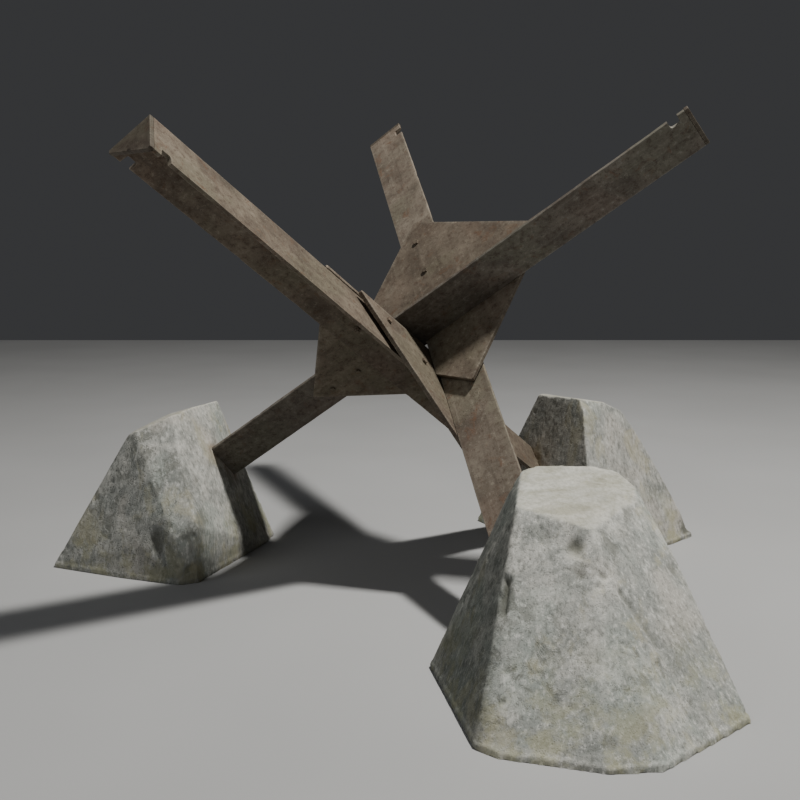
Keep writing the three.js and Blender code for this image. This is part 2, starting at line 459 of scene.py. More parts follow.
def round_outline(corners, radius, step):
    """The outline with its corners rounded and its sides divided."""
    n = len(corners)
    points = []
    for i in range(n):
        before, here, after = (Vector(corners[k % n]) for k in (i - 1, i, i + 1))
        back, ahead = (before - here).normalized(), (after - here).normalized()
        turn = back.angle(ahead)
        if turn > math.radians(178):
            points.append(here)
            continue
        run = radius / math.tan(turn / 2)
        centre = here + (back + ahead).normalized() * radius / math.sin(turn / 2)
        start, end = here + back * run, here + ahead * run
        for t in np.linspace(0, 1, 5):
            spoke = (start.lerp(end, t) - centre).normalized() * radius
            points.append(centre + spoke)
    full = []
    for i, p in enumerate(points):
        q = points[(i + 1) % len(points)]
        pieces = max(1, round((q - p).length / step))
        full += [p.lerp(q, k / pieces) for k in range(pieces)]
    return [tuple(p) for p in full]


def inside_outline(x, y, outline):
    hit = False
    for i, (x1, y1) in enumerate(outline):
        x2, y2 = outline[i - 1]
        if (y1 > y) != (y2 > y) and x < (x2 - x1) * (y - y1) / (y2 - y1) + x1:
            hit = not hit
    return hit


def fill_flat(rim, holes, step, chance):
    """Triangles covering the outline less its holes, with jittered points inside."""
    loops = [list(rim)] + [list(h) for h in holes]
    points = [Vector(p) for loop in loops for p in loop]
    edges = []
    start = 0
    for loop in loops:
        n = len(loop)
        edges += [(start + i, start + (i + 1) % n) for i in range(n)]
        start += n

    def covered(x, y):
        return inside_outline(x, y, rim) and not any(inside_outline(x, y, h) for h in holes)

    border = np.array([tuple(p) for p in points])
    low, high = border.min(0), border.max(0)
    for x in np.arange(low[0] + step / 2, high[0], step):
        for y in np.arange(low[1] + step / 2, high[1], step):
            px, py = x + chance.uniform(-0.3, 0.3) * step, y + chance.uniform(-0.3, 0.3) * step
            if np.min(np.hypot(border[:, 0] - px, border[:, 1] - py)) < step * 0.5:
                continue
            if covered(px, py):
                points.append(Vector((px, py)))
    made = delaunay_2d_cdt(points, edges, [], 0, 1e-7)
    flat, triangles = made[0], made[2]
    kept = []
    for tri in triangles:
        cx, cy = (sum(flat[i][k] for i in tri) / 3 for k in (0, 1))
        if covered(cx, cy):
            kept.append(tuple(tri))
    return [tuple(p) for p in flat], kept, len(border)


def build_plate(name, corners, low, high, place, holes=(), radius=0.004, seed=0):
    """Flame-cut plate: rough dressed edges, softly uneven faces and drilled holes."""
    chance = random.Random(seed)
    bevel = 0.0014
    rim = round_outline(corners, radius, 0.006)
    normals = outline_normals(rim)
    worn = [0.0003 + 0.0005 * abs(wobble((x, y, seed), 0.02, 3)) for x, y in rim]
    outer = [(x - n[0] * w, y - n[1] * w) for (x, y), n, w in zip(rim, normals, worn)]
    inner = [(x - n[0] * (w + bevel), y - n[1] * (w + bevel))
             for (x, y), n, w in zip(rim, normals, worn)]
    rings = [circle(HOLE_R, 24, x, y) for x, y in holes]
    flat, triangles, border = fill_flat(inner, rings, 0.010, chance)

    def dish(x, y, side):
        return 0.0001 + 0.00035 * abs(wobble((x, y, seed + 3 * side), 0.035, 3))

    points = [(x, y, low + dish(x, y, 0)) for x, y in flat]
    faces = [tuple(reversed(t)) for t in triangles]
    top = len(points)
    points += [(x, y, high - dish(x, y, 1)) for x, y in flat]
    faces += [tuple(top + i for i in t) for t in triangles]
    count = len(outer)
    levels = list(np.linspace(low + bevel, high - bevel, 4))
    side = len(points)
    for level in levels:
        for i, ((x, y), n) in enumerate(zip(outer, normals)):
            drag = 0.0003 * abs(wobble((x, y, level * 0.4), 0.004, 2))
            points.append((x - n[0] * drag, y - n[1] * drag, level))
    rows = [list(range(count))] + [[side + k * count + i for i in range(count)]
                                   for k in range(len(levels))] + [[top + i for i in range(count)]]
    for under, over in zip(rows, rows[1:]):
        for i in range(count):
            j = (i + 1) % count
            faces.append((under[i], under[j], over[j], over[i]))
    start = count
    for ring in rings:
        for i in range(len(ring)):
            j = (i + 1) % len(ring)
            faces.append((start + j, start + i, top + start + i, top + start + j))
        start += len(ring)
    plate = mesh_object(name, points, faces, place, 40)
    local = to_local(read_points(plate), place)
    x, y, z = local.T
    rim_array = np.array(rim)
    gap = np.min(np.hypot(x[:, None] - rim_array[:, 0], y[:, None] - rim_array[:, 1]), axis=1)
    deep = np.minimum(z - low, high - z)
    near = np.hypot(np.maximum(gap - 0.0015, 0), deep)
    paint(plate, "edge", np.exp(-(near / 0.004) ** 2))
    paint(plate, "cut", smooth(0.0035, 0.002, gap))
    paint(plate, "grain", np.stack((x + seed * 1.7, y + seed, z * 0.5), 1))
    return plate


CAP_OUTLINE = [(0, 0), (LEG, 0), (LEG, THICK), (THICK, LEG), (0, LEG)]


def build_weld(name, place, at, seed):
    """Lumpy fillet weld along the inside of the angle, against its end plate."""
    chance = random.Random(seed)
    root = THICK + ROOT_RADIUS
    path = [(LEG - 0.012 - 0.004 * k, THICK) for k in range(24)]
    path = [p for p in path if p[0] > root]
    path += arc(root, root, ROOT_RADIUS, 270, 180, 6)
    path += [(THICK, y) for y in np.arange(root + 0.004, LEG - 0.012, 0.004)]
    fine = []
    for p, q in zip(path, path[1:]):
        fine += [tuple(np.array(p) + (np.array(q) - np.array(p)) * k / 2) for k in range(2)]
    fine.append(path[-1])
    sides = 10
    points = []
    for i, (x, y) in enumerate(fine):
        before, after = fine[max(i - 1, 0)], fine[min(i + 1, len(fine) - 1)]
        run = Vector((after[0] - before[0], after[1] - before[1], 0)).normalized()
        out = Vector((-run.y, run.x, 0))
        out = -out if out.dot(Vector((1, 1, 0))) < 0 else out
        size = 0.0042 + 0.0007 * math.sin(i * 1.9) + chance.uniform(-0.0004, 0.0004)
        size *= 0.35 if i in (0, len(fine) - 1) else 1
        centre = Vector((x, y, at - 0.0008)) + out * 0.0008
        for k in range(sides):
            turn = 2 * math.pi * k / sides
            points.append(centre + (out * math.cos(turn) - C * math.sin(turn)) * size)
    faces = tube_faces(len(fine), sides)
    faces += [tuple(reversed(cap)) for cap in tube_caps(points, sides)]
    weld = mesh_object(name, points, faces, place, 60)
    paint(weld, "edge", np.full(len(weld.data.vertices), 0.25))
    paint(weld, "grain", to_local(read_points(weld), place))
    return weld


# ---- fasteners

def lathe(profile, sides, radius_at):
    """Points and faces of rings (factor, height); radius_at gives a point's (radius, height)."""
    points = []
    for factor, height in profile:
        for i in range(sides):
            turn = 2 * math.pi * i / sides
            r, z = radius_at(turn, factor, height)
            points.append((r * math.cos(turn), r * math.sin(turn), z))
    return points, tube_faces(len(profile), sides)


def fastener(name, points, faces, place):
    """Mesh object with a rim lightened by wear and painted highlight, and coordinates of its own."""
    piece = mesh_object(name, points, faces, place, 32)
    local = to_local(read_points(piece), place)
    radius = np.hypot(local[:, 0], local[:, 1])
    paint(piece, "edge", smooth(0.0080, 0.0092, radius) * 0.8)
    paint(piece, "grain", local)
    return piece


def hex_radius(turn):
    sector = (turn % (math.pi / 3)) - math.pi / 6
    return HEX_FLATS / 2 / math.cos(sector)


def chamfer_drop(radius):
    """How far the chamfer cone has dropped at this radius."""
    return max(radius - CROWN_R, 0) * math.tan(math.radians(30))


def build_bolt(name, place, grip):
    """Hexagon bolt with a chamfered head and a threaded end; z = 0 is under the head."""
    sides = 36
    tip = -(grip + 2 * SEAM + WASHER + NUT + THREAD_OUT)
    thread_from = tip + THREAD_OUT + NUT + 0.004

    def shape(turn, factor, z):
        if factor == "axis":
            return 0.0003, z
        if factor == "hex_low":
            return hex_radius(turn) - 0.0003, z
        if factor == "hex":
            return hex_radius(turn), z
        if factor == "hex_top":
            return hex_radius(turn), z - chamfer_drop(hex_radius(turn))
        if factor == "crown":
            return CROWN_R, z
        if factor == "dome":
            return DOME_R, z
        r = BOLT_R * factor
        if z < thread_from:
            phase = ((z - tip) / PITCH + turn / (2 * math.pi)) % 1
            r -= THREAD_DEPTH * (1 - abs(2 * phase - 1))
        return r, z

    profile = [("axis", tip), (0.80, tip), (0.98, tip + 0.0009)]
    profile += [(0.99, z) for z in np.arange(tip + 0.0012, thread_from, PITCH / 4)]
    profile += [(0.99, thread_from + 0.0006), (0.99, 0.0), ("hex_low", 0.0), ("hex", 0.0003)]
    profile += [("hex_top", HEAD), ("crown", HEAD), ("dome", HEAD - 0.0002), ("axis", HEAD - 0.0002)]
    points, faces = lathe(profile, sides, shape)
    return fastener(name, points, faces + tube_caps(points, sides), place)


def build_nut(name, place):
    """Hexagon nut, chamfered on both faces, with a plain bore; it stands on z = 0."""
    sides = 36
    bore = BOLT_R + SEAM

    def shape(turn, factor, z):
        if factor == "hex_low":
            return hex_radius(turn), z + chamfer_drop(hex_radius(turn))
        if factor == "hex_top":
            return hex_radius(turn), z - chamfer_drop(hex_radius(turn))
        if factor == "crown":
            return CROWN_R, z
        return bore * factor, z

    profile = [(1.10, 0.0), ("crown", 0.0), ("hex_low", 0.0), ("hex_top", NUT), ("crown", NUT)]
    profile += [(1.10, NUT), (1.0, NUT - 0.0006), (1.0, 0.0006), (1.10, 0.0)]
    points, faces = lathe(profile, sides, shape)
    return fastener(name, points, faces, place)


def build_ring(name, place, radius, thick):
    """Punched washer or turned spacer with softened edges, standing on z = 0."""
    sides = 48
    soft = 0.00035
    profile = [(HOLE_R + soft, 0.0), (radius - soft, 0.0), (radius, soft), (radius, thick - soft),
               (radius - soft, thick), (HOLE_R + soft, thick), (HOLE_R, thick - soft),
               (HOLE_R, soft), (HOLE_R + soft, 0.0)]
    points, faces = lathe(profile, sides, lambda turn, radius, z: (radius, z))
    return fastener(name, points, faces, place)


# ---- footings

VOXEL = 0.0055
LIP = 0.013
CLEAR = 0.0004
PORES = 60

# Unevenness of the cast faces: depth, size of the features, octaves
ROUGHNESS = [(0.0022, 0.21, 2), (0.0009, 0.05, 3), (0.0009, 0.013, 2)]

# Hollows: centre, radius and depth
HOLLOWS = {
    "a": [((1.030, 0.425, 0.020), 0.060, 0.010)],
    "b": [((-0.672, -0.012, 0.128), 0.026, 0.020), ((-0.666, -0.020, 0.098), 0.022, 0.013)],
    "c": [((0.416, -0.834, 0.361), 0.024, 0.010), ((0.355, -0.810, 0.373), 0.026, 0.005),
          ((0.421, -0.873, 0.312), 0.014, 0.006), ((0.472, -0.878, 0.314), 0.012, 0.006),
          ((0.659, -0.740, 0.278), 0.030, 0.007), ((0.449, -1.086, 0.046), 0.022, 0.006),
          ((0.336, -1.036, 0.072), 0.009, 0.004)],
}

# Creases: both ends, half width and depth
CREASES = {
    "a": [],
    "b": [],
    "c": [((0.507, -0.883, 0.279), (0.581, -0.923, 0.173), 0.008, 0.006),
          ((0.270, -0.846, 0.292), (0.258, -0.884, 0.236), 0.010, 0.012)],
}

# Where each block is speckled with dark pores, partly real and partly painted shade where light
# grazes: which way that side faces, and its least and most speckle
SPECKLE_SHADE_SIDE = {"a": (-0.6, -0.8, 0.0), "b": (-0.9, -0.45, 0.0), "c": (-0.1, -1.0, 0.0)}
SPECKLE_SHADE_RANGE = {"a": (0.18, 0.75), "b": (0.08, 1.0), "c": (0.20, 0.38)}

# Painted shade on each block: which way its shaded side faces, and how much painted shade falls low
# down on its upright walls
PAINTED_SHADE_SIDE = {"a": (0.0, 0.0, 0.0), "b": (0.0, 0.0, 0.0), "c": (-1.0, -0.1, 0.0)}
PAINTED_SHADE_WALL = {"a": 0.0, "b": 0.2, "c": 0.0}


def hull_of(node):
    """Convex hull of a CAD node as (normals, offsets) of its planes, and the hull as an object."""
    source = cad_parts[node].data
    work = bmesh.new()
    for v in source.vertices:
        work.verts.new(v.co)
    made = bmesh.ops.convex_hull(work, input=work.verts)
    loose = [g for g in made["geom_interior"] + made["geom_unused"]
             if isinstance(g, bmesh.types.BMVert)]
    bmesh.ops.delete(work, geom=list(set(loose)), context="VERTS")
    bmesh.ops.dissolve_limit(work, angle_limit=math.radians(1.0), verts=work.verts,
                             edges=work.edges)
    bmesh.ops.recalc_face_normals(work, faces=work.faces)
    normals = np.array([tuple(f.normal) for f in work.faces])
    offsets = np.array([f.normal.dot(f.calc_center_median()) for f in work.faces])
    data = bpy.data.meshes.new(node)
    work.to_mesh(data)
    work.free()
    return normals, offsets, link_object(node + "_cast", data)


def relax(points, edges, fixed, rounds):
    """Moves each free point toward the middle of its neighbours."""
    count = np.zeros(len(points))
    np.add.at(count, edges.ravel(), 1)
    count = np.maximum(count, 1)[:, None]
    for _ in range(rounds):
        total = np.zeros_like(points)
        np.add.at(total, edges[:, 0], points[edges[:, 1]])
        np.add.at(total, edges[:, 1], points[edges[:, 0]])
        moved = points + 0.5 * (total / count - points)
        points = np.where(fixed[:, None], points, moved)
    return points


def build_footing(arm, seed):
    """Rough cast block: uneven faces, worn and chipped edges, air holes and a thin base lip."""
    normals, offsets, block = hull_of(f"footing_{arm}")
    change = block.modifiers.new("grid", "REMESH")
    change.mode = "VOXEL"
    change.voxel_size = VOXEL
    bake_modifiers(block)
    points = read_points(block)
    edges = np.array([tuple(e.vertices) for e in block.data.edges])
    points = relax(points, edges, points[:, 2] < 0.4 * VOXEL, 1)

    gaps = points @ normals.T - offsets
    ground = normals[:, 2] < -0.9
    under = ground[np.argsort(-gaps, axis=1)[:, 0]]
    blend = np.exp(np.minimum(gaps, 0) / 0.006) @ (-normals * (~ground)[:, None])
    inward = blend / np.maximum(np.linalg.norm(blend, axis=1, keepdims=True), 1e-6)
    ridge = sharp_ridge(normals, offsets, ground, points)

    chance = random.Random(seed)
    push = np.zeros(len(points))
    for i, p in enumerate(points):
        at = Vector(p) + Vector((seed, 0, 0))
        push[i] = sum(depth * (0.5 + 0.5 * wobble(at, size, octaves))
                      for depth, size, octaves in ROUGHNESS)
        if ridge[i] < 0.02:
            near_ridge = math.exp(-(ridge[i] / 0.006) ** 2)
            chip = max(0.0, wobble(at, 0.03, 3) - 0.30)
            push[i] += near_ridge * 0.007 * chip
    push += scatter_pores(points, chance)
    for centre, radius, depth in HOLLOWS[arm]:
        far = np.linalg.norm(points - np.array(centre), axis=1) / radius
        push += depth * np.exp(-far ** 2 * 1.4)
    for start, end, half, depth in CREASES[arm]:
        push += depth * np.exp(-(segment_distance(points, start, end) / half) ** 2)
    lip_line = LIP + 0.003 * np.array([wobble((p[0], p[1], seed), 0.05, 3) for p in points])
    above = smooth(0.0, 0.004, points[:, 2] - lip_line)
    push = push * (0.25 + 0.75 * above) + 0.0006 * above
    push[under] = 0.0
    moved = points + inward * push[:, None]
    moved += upright_lip(points, inward, normals, offsets, ground, lip_line)
    low = points[:, 2] < 0.5 * VOXEL
    moved[:, 2] = np.maximum(moved[:, 2], 0.0)
    moved[low, 2] = np.minimum(moved[low, 2], 0.0015)
    write_points(block, moved)

    low_end, _ = beam_ends(arm)
    slot = prism_tool(section(grow=CLEAR), low_end - 0.0005, 0.0, beam_frame(arm))
    cut_away(block, [slot])
    finish_normals(block, 65)
    paint_footing(block, arm, normals, offsets)
    block.name = f"concrete_block_{arm}"
    return block


def upright_lip(points, inward, normals, offsets, ground, lip_line):
    """Shift that turns the foot of each leaning face into a low upright band."""
    flat = inward * (1, 1, 0)
    run = np.maximum(np.linalg.norm(flat, axis=1), 0.2)
    lean = np.clip(-inward[:, 2] / run, 0, 0.5) * 0.7
    deep = -np.max(np.where(ground, -9.0, points @ normals.T - offsets), axis=1)
    shift = np.maximum(lip_line - points[:, 2], 0) * lean * np.clip(1 - deep / 0.03, 0, 1)
    return flat / run[:, None] * shift[:, None]


def sharp_ridge(normals, offsets, ground, points):
    """Distance below the nearest ridge where two cast faces meet at a clear angle."""
    gaps = points @ normals.T - offsets
    gaps[:, ground] = -9.0
    best = np.argmax(gaps, axis=1)
    turned = normals[best] @ normals.T < math.cos(math.radians(12))
    return -np.max(np.where(turned & ~ground, gaps, -9.0), axis=1)


def segment_distance(points, start, end):
    start, end = np.array(start), np.array(end)
    run = end - start
    along = np.clip((points - start) @ run / (run @ run), 0, 1)
    return np.linalg.norm(points - start - along[:, None] * run, axis=1)


def scatter_pores(points, chance):
    """Air holes: small round dents at random points of the surface."""
    dents = np.zeros(len(points))
    for _ in range(PORES):
        centre = points[chance.randrange(len(points))]
        radius = chance.uniform(0.005, 0.010)
        depth = radius * chance.uniform(0.2, 0.4)
        far = np.linalg.norm(points - centre, axis=1)
        dents = np.maximum(dents, depth * smooth(radius, radius * 0.35, far))
    return dents


def beyond_box(x, y, wide, high):
    """Distance from a flat box that starts at the origin."""
    return np.hypot(np.maximum(np.maximum(-x, x - wide), 0), np.maximum(np.maximum(-y, y - high), 0))


def paint_footing(block, arm, normals, offsets):
    """Depth below the cast face, ridges, painted shade on shaded sides and upright walls, sides
    speckled partly as painted shade, and rust near the steel.
    """
    points = read_points(block)
    ground = normals[:, 2] < -0.9
    gaps = points @ normals.T - offsets
    paint(block, "cavity", smooth(0.0042, 0.012, np.min(-gaps, axis=1)))
    ridge = sharp_ridge(normals, offsets, ground, points)
    paint(block, "ridge", np.exp(-(ridge / 0.007) ** 2))

    weight = np.exp(np.minimum(gaps, 0) / 0.010) * ~ground
    weight /= np.maximum(weight.sum(1), 1e-6)[:, None]
    facing = weight @ normals
    upright = weight[:, (normals[:, 2] < 0.16) & ~ground].sum(1)
    # Painted shade: darkens the block's shaded side and the foot of its upright walls
    painted_shade_wall = PAINTED_SHADE_WALL[arm] * smooth(0.35, 0.65, upright) * smooth(0.21, 0.19, points[:, 2])
    painted_shade_side = smooth(0.45, 0.75, facing @ np.array(PAINTED_SHADE_SIDE[arm]))
    paint(block, "painted_shade", np.maximum(painted_shade_wall, painted_shade_side))
    low, high = SPECKLE_SHADE_RANGE[arm]
    # Speckle strength by side: partly real roughness, partly painted shade of pits where light
    # grazes
    speckle_shade_side = smooth(0.25, 0.60, facing @ np.array(SPECKLE_SHADE_SIDE[arm]))
    paint(block, "rough", low + (high - low) * speckle_shade_side)
    x, y, _ = to_local(points, beam_frame(arm)).T
    near = np.minimum(beyond_box(x, y, LEG, THICK), beyond_box(x, y, THICK, LEG))
    paint(block, "rust", np.exp(-near / 0.020))


# ---- material helpers

class Shader:
    """A Principled material built from code."""

    def __init__(self, name, roughness, metallic=0.0, specular=0.5):
        self.material = bpy.data.materials.new(name)
        self.material.use_nodes = True
        self.nodes = self.material.node_tree.nodes
        self.links = self.material.node_tree.links
        self.bsdf = self.nodes["Principled BSDF"]
        self.bsdf.inputs["Roughness"].default_value = roughness
        self.bsdf.inputs["Metallic"].default_value = metallic
        self.bsdf.inputs["Specular IOR Level"].default_value = specular
        self.object = self.node("TexCoord").outputs["Object"]

    def put(self, socket, value):
        if hasattr(value, "is_output"):
            self.links.new(value, socket)
        else:
            socket.default_value = value

    def node(self, kind, **inputs):
        """New shader node with these inputs set or linked."""
        node = self.nodes.new("ShaderNode" + kind)
        for name, value in inputs.items():
            self.put(node.inputs[name], value)
        return node

    def field(self, name, vector=False):
        node = self.node("Attribute")
        node.attribute_name = name
        return node.outputs["Vector" if vector else "Fac"]

    def scaled(self, vector, scale):
        return self.node("Mapping", Vector=vector, Scale=scale).outputs["Vector"]

    def noise(self, scale, detail=4.0, rough=0.55, vector=None, warp=0.0):
        node = self.node("TexNoise", Vector=vector or self.object, Scale=scale, Detail=detail,
                         Roughness=rough, Distortion=warp)
        return node.outputs["Fac"]

    def cells(self, scale, vector):
        return self.node("TexVoronoi", Vector=vector, Scale=scale).outputs["Distance"]

    def span(self, value, low, high, to_low=0.0, to_high=1.0):
        node = self.node("MapRange", Value=value, **{"From Min": low, "From Max": high,
                                                     "To Min": to_low, "To Max": to_high})
        node.interpolation_type = "SMOOTHSTEP"
        return node.outputs["Result"]

    def math(self, kind, first, second=0.0):
        node = self.node("Math")
        node.operation = kind
        self.put(node.inputs[0], first)
        self.put(node.inputs[1], second)
        return node.outputs[0]

    def times(self, *values):
        made = values[0]
        for value in values[1:]:
            made = self.math("MULTIPLY", made, value)
        return made

    def mix(self, factor, first, second, kind="MIX"):
        node = self.node("Mix")
        node.data_type = "RGBA"
        node.blend_type = kind
        self.put(node.inputs["Factor"], factor)
        self.put(node.inputs[6], first)
        self.put(node.inputs[7], second)
        return node.outputs[2]

    def ramp(self, value, stops):
        node = self.node("ValToRGB", Fac=value)
        ramp = node.color_ramp
        while len(ramp.elements) < len(stops):
            ramp.elements.new(0.5)
        for element, (place, colour) in zip(ramp.elements, stops):
            element.position = place
            element.color = (*colour, 1)
        return node.outputs["Color"]

    def layers(self, colour, rows):
        """Mixes rows of (mask, where it starts, where it is full, amount, colour) over a colour."""
        for mask, start, full, amount, over in rows:
            colour = self.mix(self.span(mask, start, full, 0, amount), colour, (*over, 1))
        return colour

    def stains(self, colour, rows):
        """Mixes rows of (mask, amount, colour) over a colour."""
        for mask, amount, over in rows:
            colour = self.mix(self.times(mask, amount), colour, (*over, 1))
        return colour

    def shifted(self, vector, shift):
        moved = self.scaled(vector, (1, 1, 1))
        moved.node.inputs["Location"].default_value = shift
        return moved

    def upward(self, vector):
        """Z part of a vector."""
        return self.node("SeparateXYZ", Vector=vector).outputs["Z"]

    def bump(self, heights, strength=0.6, distance=0.004):
        """Adds (height, amount) layers and drives the normal with their sum."""
        total = None
        for height, amount in heights:
            layer = self.math("MULTIPLY", height, amount)
            total = layer if total is None else self.math("ADD", total, layer)
        node = self.node("Bump", Strength=strength, Distance=distance, Height=total)
        self.put(self.bsdf.inputs["Normal"], node.outputs["Normal"])


# How light, and how warm, each piece is against the material's own colours
CONCRETE_TONE = {"a": 0.92, "b": 0.93, "c": 1.06}
STEEL_TONE = {"a": 0.77, "b": 0.78, "c": 0.98, "bc": 0.78, "ab": 0.82, "ca": 0.76}
CAP_TONE = 0.48
FASTENER_TONE = 0.70
STEEL_WARMTH = {"a": 0.5, "b": -0.3, "c": 0.2}


def concrete_material(name, shift, tone):
    """Weathered cast concrete: upright strokes, smudges, speckle partly darkened as painted shade,
    painted shade in hollows and on shaded sides, moss low down, rust.
    """
    s = Shader(name, 0.94, specular=0.2)
    where = s.shifted(s.object, (shift, shift * 0.5, 0))
    squat = s.scaled(where, (1, 1, 0.6))
    mottle = s.noise(15, 6, 0.68, where, 0.3)
    blotch = s.noise(4.4, 4, 0.55, where, 0.6)
    tint = s.noise(5.2, 3, 0.5, where, 0.4)
    stroke = s.noise(105, 4, 0.72, s.scaled(where, (1, 1, 0.36)))
    colour = s.ramp(mottle, [
        (0.30, (0.215, 0.222, 0.200)), (0.43, (0.355, 0.358, 0.328)),
        (0.54, (0.475, 0.468, 0.425)), (0.68, (0.62, 0.605, 0.55)),
    ])
    colour = s.layers(colour, [
        (blotch, 0.47, 0.58, 0.60, (0.270, 0.282, 0.262)),
        (tint, 0.52, 0.66, 0.50, (0.345, 0.385, 0.345)),
        (tint, 0.46, 0.32, 0.45, (0.540, 0.495, 0.430)),
        (stroke, 0.53, 0.64, 0.55, (0.700, 0.690, 0.640)),
        (stroke, 0.48, 0.36, 0.60, (0.165, 0.170, 0.152)),
    ])
    smudge = s.times(s.span(s.noise(24, 6, 0.72, squat, 0.5), 0.50, 0.60),
                     s.span(s.noise(5.5, 3, 0.5, where), 0.46, 0.58))
    # Dark pore speckle: partly real pores, partly painted shade, strongest on the side where light
    # grazes
    dots = s.times(s.span(s.cells(230, s.scaled(where, (1, 1, 0.7))), 0.42, 0.22),
                   s.span(s.noise(70, 3, 0.6, where), 0.42, 0.60, 0.25, 1.0), s.field("rough"))
    colour = s.stains(colour, [
        (smudge, 0.66, (0.172, 0.175, 0.150)),
        (dots, 0.85, (0.105, 0.112, 0.098)),
    ])

    level = s.upward(s.object)
    normal = s.node("NewGeometry").outputs["Normal"]
    crown = s.times(s.span(s.upward(normal), 0.62, 0.93), s.span(level, 0.30, 0.42))
    pale = s.ramp(s.noise(15, 6, 0.66, s.scaled(where, (0.5, 1.3, 4.0)), 0.5), [
        (0.36, (0.33, 0.315, 0.235)), (0.50, (0.47, 0.455, 0.385)), (0.64, (0.56, 0.545, 0.485)),
    ])
    pale = s.layers(pale, [(stroke, 0.52, 0.40, 0.35, (0.30, 0.285, 0.215))])
    colour = s.mix(s.times(crown, 0.74), colour, pale)
    streak = s.noise(26, 5, 0.62, s.scaled(where, (1.0, 1.0, 0.10)))
    colour = s.layers(colour, [(streak, 0.54, 0.72, 0.35, (0.245, 0.255, 0.230))])

    moss = s.times(s.span(level, 0.24, 0.02), s.span(s.noise(10, 5, 0.66, where), 0.46, 0.60))
    ochre = s.span(s.noise(7.5, 5, 0.66, s.scaled(where, (1.2, 1.2, 0.8)), 0.5), 0.55, 0.66)
    # Painted shade: darkens the hollows, the deeper ones more
    hollow_shade = s.times(s.field("cavity"), s.span(s.noise(26, 4, 0.6, where), 0.30, 0.58, 0.55, 1.0))
    colour = s.stains(colour, [
        (moss, 0.55, (0.375, 0.360, 0.215)),
        (ochre, 0.42, (0.440, 0.405, 0.265)),
        (hollow_shade, 0.80, (0.145, 0.145, 0.115)),
    ])
    # Painted shade: darkens the block's shaded side and the foot of its upright walls
    painted_shade = s.times(s.field("painted_shade"), 0.80)
    colour = s.mix(painted_shade, colour, (0.26, 0.275, 0.265, 1), "MULTIPLY")
    ridge = s.times(s.field("ridge"), s.span(s.noise(24, 4, 0.65, where), 0.40, 0.60))
    rust = s.times(s.field("rust"), s.span(s.noise(32, 4, 0.6, where), 0.35, 0.62, 0.35, 1.0))
    colour = s.stains(colour, [
        (ridge, 0.25, (0.600, 0.585, 0.530)),
        (rust, 0.70, (0.200, 0.115, 0.060)),
    ])
    s.put(s.bsdf.inputs["Base Color"], s.mix(1.0, colour, (tone, tone, tone, 1), "MULTIPLY"))
    s.put(s.bsdf.inputs["Roughness"], s.span(mottle, 0.3, 0.7, 0.97, 0.88))
    s.bump([(s.noise(50, 5, 0.62, where), 1.0), (stroke, 0.5), (dots, -0.5), (smudge, -0.3)],
           0.6, 0.0034)
    return s.material


def steel_material(name, shift, tone=1.0, cut_edge=False, warmth=0.0):
    """Weathered mill steel: brown-grey scale, dusty patches, streaks along the roll, edges lightened
    by wear and painted highlight.
    """
    s = Shader(name, 0.70, metallic=0.10, specular=0.35)
    grain = s.shifted(s.field("grain", True), (shift, 0, shift))
    where = s.shifted(s.object, (shift, 0, 0))

    def shade(r, g, b):
        return (r * tone * (1 + 0.10 * warmth), g * tone, b * tone * (1 - 0.12 * warmth))

    cloud = s.noise(3.8, 3, 0.5, where, 0.4)
    along = s.noise(34, 5, 0.62, s.scaled(grain, (1.0, 0.08, 1.0)))
    fine = s.noise(62, 6, 0.74, where)
    sand = s.noise(330, 3, 0.65, where)
    colour = s.ramp(s.noise(9.5, 6, 0.62, where, 0.5), [
        (0.30, shade(0.098, 0.080, 0.062)), (0.43, shade(0.150, 0.124, 0.096)),
        (0.54, shade(0.196, 0.165, 0.129)), (0.68, shade(0.262, 0.226, 0.180)),
    ])
    colour = s.layers(colour, [
        (cloud, 0.50, 0.62, 0.60, shade(0.182, 0.170, 0.122)),
        (cloud, 0.47, 0.34, 0.50, shade(0.205, 0.150, 0.115)),
        (along, 0.52, 0.70, 0.45, shade(0.092, 0.073, 0.056)),
        (along, 0.46, 0.30, 0.40, shade(0.310, 0.275, 0.222)),
        (fine, 0.51, 0.64, 0.62, shade(0.085, 0.056, 0.040)),
        (fine, 0.45, 0.32, 0.55, shade(0.350, 0.315, 0.255)),
        (sand, 0.58, 0.72, 0.40, shade(0.060, 0.045, 0.033)),
        (sand, 0.42, 0.28, 0.40, shade(0.420, 0.385, 0.320)),
    ])
    rust = s.times(s.span(s.noise(21, 5, 0.65, where, 0.8), 0.56, 0.68),
                   s.span(s.noise(210, 3, 0.6, where), 0.42, 0.58, 0.35, 1.0))
    pits = s.times(s.span(s.cells(120, where), 0.24, 0.12),
                   s.span(s.noise(17, 2, 0.5, where), 0.50, 0.60))
    # Lighter edges: partly real wear, partly painted highlight along the arrises
    edge = s.times(s.field("edge"), s.span(s.noise(30, 5, 0.65, grain), 0.40, 0.58, 0.15, 1.0))
    colour = s.stains(colour, [
        (rust, 0.65, shade(0.165, 0.085, 0.046)),
        (pits, 0.60, shade(0.045, 0.034, 0.025)),
        (edge, 0.50, shade(0.400, 0.370, 0.310)),
    ])
    heights = [(s.noise(48, 6, 0.66, where), 1.0), (fine, 0.55), (pits, -0.8), (rust, 0.35)]
    if cut_edge:
        cut = s.field("cut")
        drag = s.noise(240, 2, 0.5, s.scaled(grain, (1.0, 1.0, 0.08)))
        dark = s.times(cut, s.span(drag, 0.42, 0.62, 0, 0.5))
        colour = s.mix(dark, colour, (*shade(0.105, 0.083, 0.064), 1))
        heights.append((s.times(cut, drag), 0.9))
    s.put(s.bsdf.inputs["Base Color"], colour)
    s.put(s.bsdf.inputs["Roughness"], s.span(fine, 0.30, 0.70, 0.58, 0.84))
    s.bump(heights, 0.5, 0.0014)
    return s.material


# ---- the object

